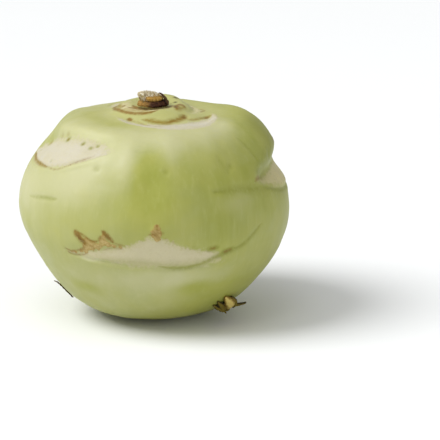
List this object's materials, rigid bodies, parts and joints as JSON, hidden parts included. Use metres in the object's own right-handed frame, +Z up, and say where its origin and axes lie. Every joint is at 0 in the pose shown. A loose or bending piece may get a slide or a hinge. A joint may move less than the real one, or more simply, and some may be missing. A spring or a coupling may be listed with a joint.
{
  "type": "kohlrabi",
  "caption": "Whole pale green kohlrabi, a swollen stem with leaf scars and the dried stub of its shoot, trimmed flush at the root so that it stands on a small flat spot.",
  "frame": {"origin": "centre of the flat trimmed base that it stands on", "axes": "+Z up through the crown, -Y towards the side with the low leaf scar and its bud, +X towards the side with the deep leaf scar"},
  "size_m": [0.0903, 0.0893, 0.0756],
  "materials": {
    "skin": "satin",
    "dried_stem": "matte",
    "dark_scale": "matte",
    "dry_leaf": "matte"
  },
  "bodies": {
    "root": {"bulb": "skin", "crown_stub": "dried_stem", "crown_scale": "dark_scale", "dry_leaf_base_right": "dry_leaf", "dry_leaf_base_left": "dry_leaf"}
  },
  "joints": []
}
